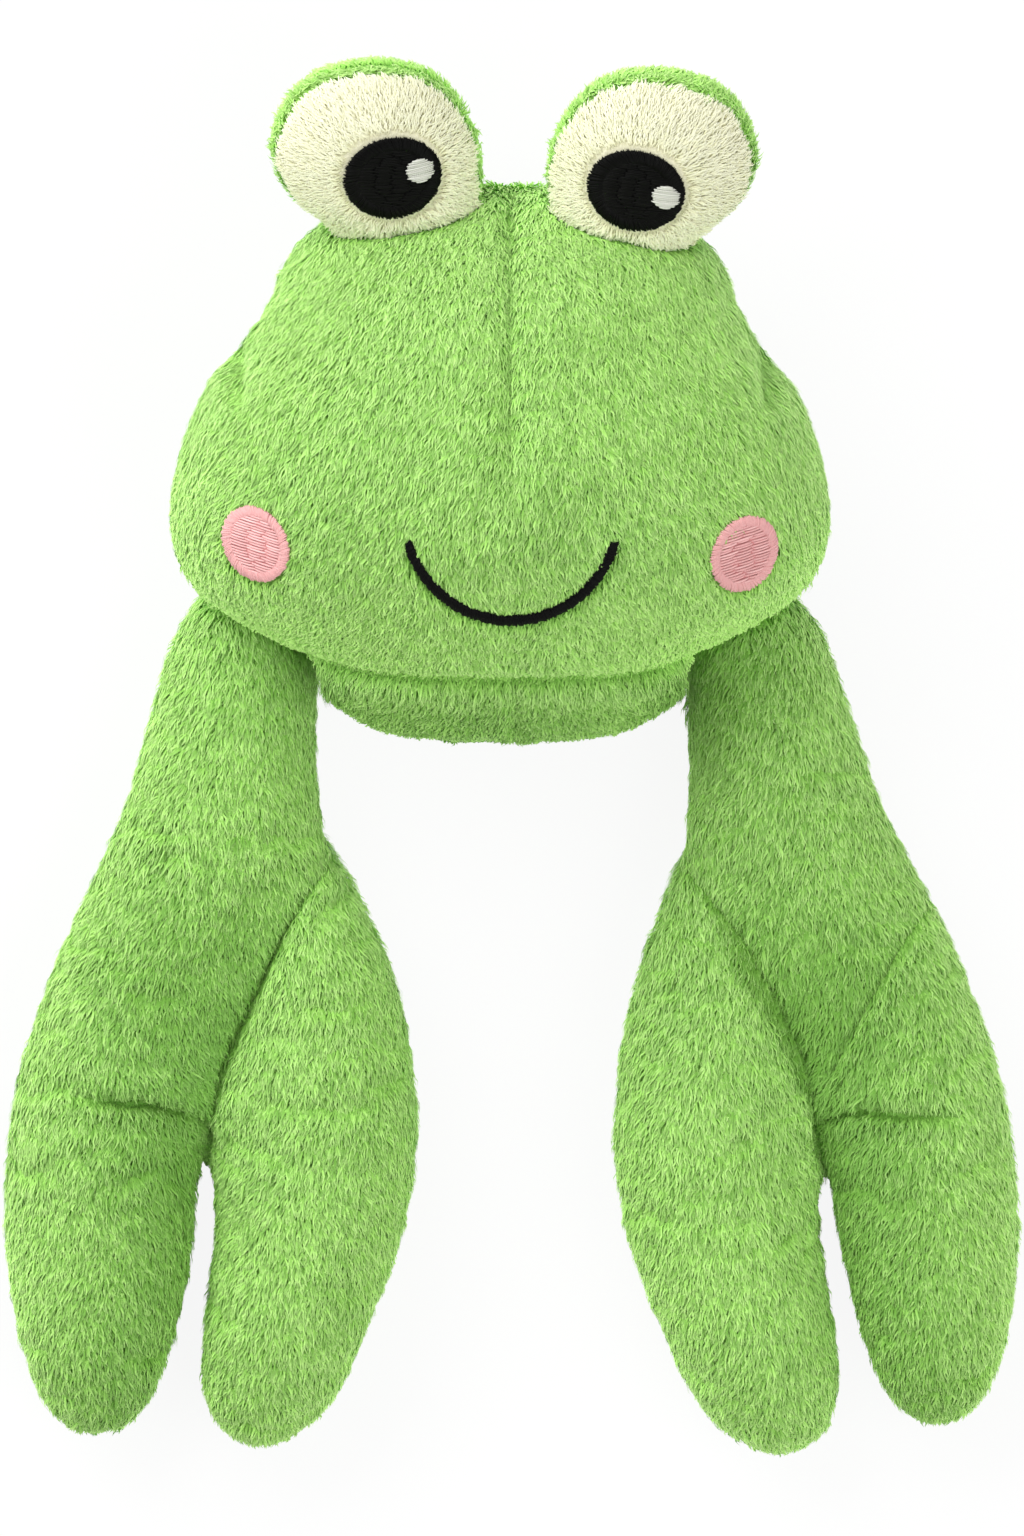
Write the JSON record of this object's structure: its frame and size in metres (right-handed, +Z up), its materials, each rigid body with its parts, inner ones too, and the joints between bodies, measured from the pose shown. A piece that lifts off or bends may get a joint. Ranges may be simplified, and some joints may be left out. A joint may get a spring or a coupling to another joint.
{
  "type": "stuffed crab dog toy",
  "caption": "Plush dog toy lying on its back: a wide frog-faced head with padded eyes and hinged arms that end in stuffed claws.",
  "frame": {"origin": "middle of the toy in plan, on the floor that it lies on", "axes": "+Z up from the floor, out of the face; +Y from the claws towards the eyes; -X the side of the left cheek as seen facing the toy"},
  "size_m": [0.2532, 0.3464, 0.1153],
  "materials": {
    "plush": "short light-green plush pile",
    "cream_plush": "short cream plush pile",
    "stuffing": "loose white polyester fibre",
    "black_thread": "black embroidery thread",
    "white_thread": "white embroidery thread",
    "pink_thread": "pink embroidery thread",
    "squeaker": "thin soft plastic",
    "reed": "hard plastic"
  },
  "bodies": {
    "head": {"face_panel": "plush", "belly_panel": "plush", "back_panel": "plush", "head_stuffing": "stuffing", "squeaker_bulb": "squeaker", "squeaker_reed": "reed", "smile_embroidery": "black_thread", "left_cheek_embroidery": "pink_thread", "right_cheek_embroidery": "pink_thread", "left_eye_front_panel": "cream_plush", "left_eye_back_panel": "plush", "left_eye_stuffing": "stuffing", "left_pupil_embroidery": "black_thread", "left_glint_embroidery": "white_thread", "right_eye_front_panel": "cream_plush", "right_eye_back_panel": "plush", "right_eye_stuffing": "stuffing", "right_pupil_embroidery": "black_thread", "right_glint_embroidery": "white_thread"},
    "left_arm": {"left_arm_front_panel": "plush", "left_arm_back_panel": "plush", "left_arm_stuffing": "stuffing"},
    "left_inner_finger": {"left_inner_finger_front_panel": "plush", "left_inner_finger_back_panel": "plush", "left_inner_finger_stuffing": "stuffing"},
    "left_outer_finger": {"left_outer_finger_front_panel": "plush", "left_outer_finger_back_panel": "plush", "left_outer_finger_stuffing": "stuffing"},
    "right_arm": {"right_arm_front_panel": "plush", "right_arm_back_panel": "plush", "right_arm_stuffing": "stuffing"},
    "right_inner_finger": {"right_inner_finger_front_panel": "plush", "right_inner_finger_back_panel": "plush", "right_inner_finger_stuffing": "stuffing"},
    "right_outer_finger": {"right_outer_finger_front_panel": "plush", "right_outer_finger_back_panel": "plush", "right_outer_finger_stuffing": "stuffing"}
  },
  "joints": [
    {"name": "left_shoulder", "type": "hinge", "parent": "head", "child": "left_arm", "pos_m": [-0.06132, 0.0302, 0.0375], "axis": [-0.9397, 0.342, 0], "range_deg": [-12, 55]},
    {"name": "left_inner_fold", "type": "hinge", "parent": "left_arm", "child": "left_inner_finger", "pos_m": [-0.06172, -0.05855, 0.036], "axis": [-0.404, -0.9148, 0], "range_deg": [0, 50], "stiffness_Nm_per_rad": 0.03},
    {"name": "left_outer_fold", "type": "hinge", "parent": "left_arm", "child": "left_outer_finger", "pos_m": [-0.09974, -0.0898, 0.0405], "axis": [-1, 0, 0], "range_deg": [0, 70], "stiffness_Nm_per_rad": 0.03},
    {"name": "right_shoulder", "type": "hinge", "parent": "head", "child": "right_arm", "pos_m": [0.05434, 0.0302, 0.0375], "axis": [-0.9219, -0.3875, 0], "range_deg": [-12, 55]},
    {"name": "right_inner_fold", "type": "hinge", "parent": "right_arm", "child": "right_inner_finger", "pos_m": [0.05907, -0.05842, 0.036], "axis": [-0.4482, 0.8939, 0], "range_deg": [0, 50], "stiffness_Nm_per_rad": 0.03},
    {"name": "right_outer_fold", "type": "hinge", "parent": "right_arm", "child": "right_outer_finger", "pos_m": [0.09857, -0.08778, 0.0405], "axis": [-0.9988, -0.0489, 0], "range_deg": [0, 70], "stiffness_Nm_per_rad": 0.03}
  ]
}
